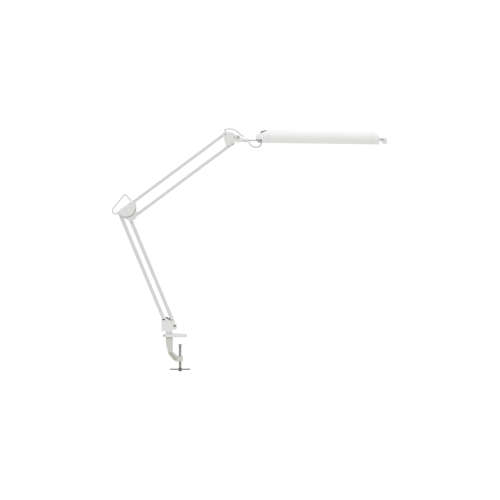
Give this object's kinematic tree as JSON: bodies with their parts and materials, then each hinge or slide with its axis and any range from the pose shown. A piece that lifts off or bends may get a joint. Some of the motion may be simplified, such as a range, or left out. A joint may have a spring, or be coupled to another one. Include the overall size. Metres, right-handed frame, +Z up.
{
  "type": "swing-arm desk lamp",
  "caption": "Clamp-on swing-arm desk lamp with two parallelogram arms and a long box-shaped fluorescent head that tilts and rolls on a rod.",
  "frame": {"origin": "centre of the upper jaw's pad underside, on the clamp screw's axis", "axes": "+Z up, out of the desk; +X from the clamp toward the far end of the head; the arms lie in the XZ plane"},
  "size_m": [0.9348, 0.064, 0.8294],
  "materials": {
    "white_enamel": "smooth satin white stove enamel",
    "clamp_enamel": "warm off-white enamel over a fine-grained casting",
    "white_plastic": "satin white moulded plastic",
    "grey_plastic": "mauve-grey moulded plastic",
    "dark_steel": "dull dark zinc-plated steel",
    "bright_steel": "plain plated steel",
    "rubber": "dark soft rubber",
    "cable_sheath": "white PVC sheath",
    "reflector_sheet": "bright anodised sheet",
    "lamp_glass": "white phosphor-coated glass",
    "amber_lens": "translucent orange-red plastic over a dark core"
  },
  "bodies": {
    "clamp": {"clamp_frame": "clamp_enamel", "upper_jaw": "white_enamel", "jaw_pad": "rubber", "jaw_screw_front": "bright_steel", "jaw_screw_back": "bright_steel", "thread_bush": "bright_steel", "swivel_bush": "grey_plastic"},
    "pressure_foot": {"pressure_foot": "dark_steel"},
    "clamp_screw": {"clamp_screw": "dark_steel", "tommy_bar": "dark_steel"},
    "lock_screw": {"lock_screw": "bright_steel"},
    "swivel": {"swivel_post": "white_enamel", "base_bracket": "white_enamel", "base_rivet_rear": "rubber", "base_rivet_front": "rubber", "inlet_grommet": "rubber"},
    "lower_rear_arm": {"lower_rear_tube": "white_enamel", "lower_rear_lower_eye": "white_plastic", "lower_rear_upper_eye": "white_plastic", "cable_sleeve": "white_plastic"},
    "lower_front_arm": {"lower_front_tube": "white_enamel", "lower_front_lower_eye": "white_plastic", "lower_front_upper_eye": "white_plastic"},
    "elbow": {"elbow_plate_front": "white_enamel", "elbow_plate_back": "white_enamel", "elbow_cover_front": "white_plastic", "elbow_cover_back": "white_plastic", "elbow_pin_rear": "bright_steel", "elbow_rivet_front": "white_enamel", "elbow_rivet_top": "white_enamel", "elbow_rivet_low": "white_enamel", "elbow_cable": "cable_sheath"},
    "upper_top_arm": {"upper_top_tube": "white_enamel", "upper_top_lower_eye": "white_plastic", "upper_top_upper_eye": "white_plastic", "cable_grommet": "white_plastic"},
    "upper_bottom_arm": {"upper_bottom_tube": "white_enamel", "upper_bottom_lower_eye": "white_plastic", "upper_bottom_upper_eye": "white_plastic"},
    "upper_knuckle": {"knuckle_body": "white_enamel", "knuckle_rivet_top": "bright_steel", "knuckle_rivet_low": "bright_steel", "knuckle_cable": "cable_sheath"},
    "head_bracket": {"head_bracket": "white_enamel", "tilt_bolt": "bright_steel"},
    "head": {"head_rod": "bright_steel", "rod_collar": "white_enamel", "swivel_block": "grey_plastic", "head_cable": "cable_sheath", "left_end_cap": "white_plastic", "right_end_cap": "white_plastic", "finger_grip": "white_plastic", "shade_shell": "white_enamel", "reflector": "reflector_sheet", "lamp_tube": "lamp_glass", "lamp_base": "white_plastic", "lamp_holder": "white_plastic", "ballast": "bright_steel", "switch_housing": "grey_plastic"},
    "rocker": {"rocker": "amber_lens"}
  },
  "joints": [
    {"name": "screw_travel", "type": "slide", "parent": "clamp", "child": "pressure_foot", "axis": [0, 0, 1], "range_m": [-0.0321, 0.0231]},
    {"name": "screw_turn", "type": "hinge", "parent": "pressure_foot", "child": "clamp_screw", "pos_m": [0, 0, -0.06], "axis": [0, 0, 1], "range_deg": [-5760, 4140]},
    {"name": "lock_screw_turn", "type": "hinge", "parent": "clamp", "child": "lock_screw", "pos_m": [-0.054, 0, 0.0048], "axis": [1, 0, 0], "range_deg": [-720, 0]},
    {"name": "base_swivel", "type": "hinge", "parent": "clamp", "child": "swivel", "pos_m": [-0.0375, 0, 0.02], "axis": [0, 0, 1], "continuous": true},
    {"name": "lower_arm_lean", "type": "hinge", "parent": "swivel", "child": "lower_rear_arm", "pos_m": [-0.0554, 0, 0.0615], "axis": [0, 1, 0], "range_deg": [-15, 65], "deforming": ["elbow_cable"]},
    {"name": "lower_front_lean", "type": "hinge", "parent": "swivel", "child": "lower_front_arm", "pos_m": [-0.01829, 0, 0.03938], "axis": [0, 1, 0], "range_deg": [-15, 65]},
    {"name": "elbow_level", "type": "hinge", "parent": "lower_rear_arm", "child": "elbow", "pos_m": [-0.20554, 0, 0.42577], "axis": [0, 1, 0], "range_deg": [-65, 15]},
    {"name": "upper_arm_tilt", "type": "hinge", "parent": "elbow", "child": "upper_top_arm", "pos_m": [-0.18234, 0, 0.44307], "axis": [0, 1, 0], "range_deg": [-35, 70], "deforming": ["elbow_cable"]},
    {"name": "upper_bottom_tilt", "type": "hinge", "parent": "elbow", "child": "upper_bottom_arm", "pos_m": [-0.15757, 0, 0.40978], "axis": [0, 1, 0], "range_deg": [-35, 70]},
    {"name": "knuckle_level", "type": "hinge", "parent": "upper_top_arm", "child": "upper_knuckle", "pos_m": [0.15382, 0, 0.69318], "axis": [0, 1, 0], "range_deg": [-70, 35]},
    {"name": "head_tilt", "type": "hinge", "parent": "upper_knuckle", "child": "head_bracket", "pos_m": [0.19732, 0, 0.68148], "axis": [0, 1, 0], "range_deg": [-60, 60], "deforming": ["knuckle_cable"]},
    {"name": "head_roll", "type": "hinge", "parent": "head_bracket", "child": "head", "pos_m": [0.19719, 0, 0.67198], "axis": [0.9999, 0, -0.014], "range_deg": [-100, 100]},
    {"name": "rocker_press", "type": "hinge", "parent": "head", "child": "rocker", "pos_m": [0.28371, 0, 0.69836], "axis": [0, 1, 0], "range_deg": [0, 14]}
  ],
  "couplings": [
    {"joint": "screw_travel", "follows": "screw_turn", "m_per_rad": 0.00031831},
    {"joint": "lower_front_lean", "follows": "lower_arm_lean", "ratio": 1},
    {"joint": "elbow_level", "follows": "lower_arm_lean", "ratio": -1},
    {"joint": "upper_bottom_tilt", "follows": "upper_arm_tilt", "ratio": 1},
    {"joint": "knuckle_level", "follows": "upper_arm_tilt", "ratio": -1}
  ]
}
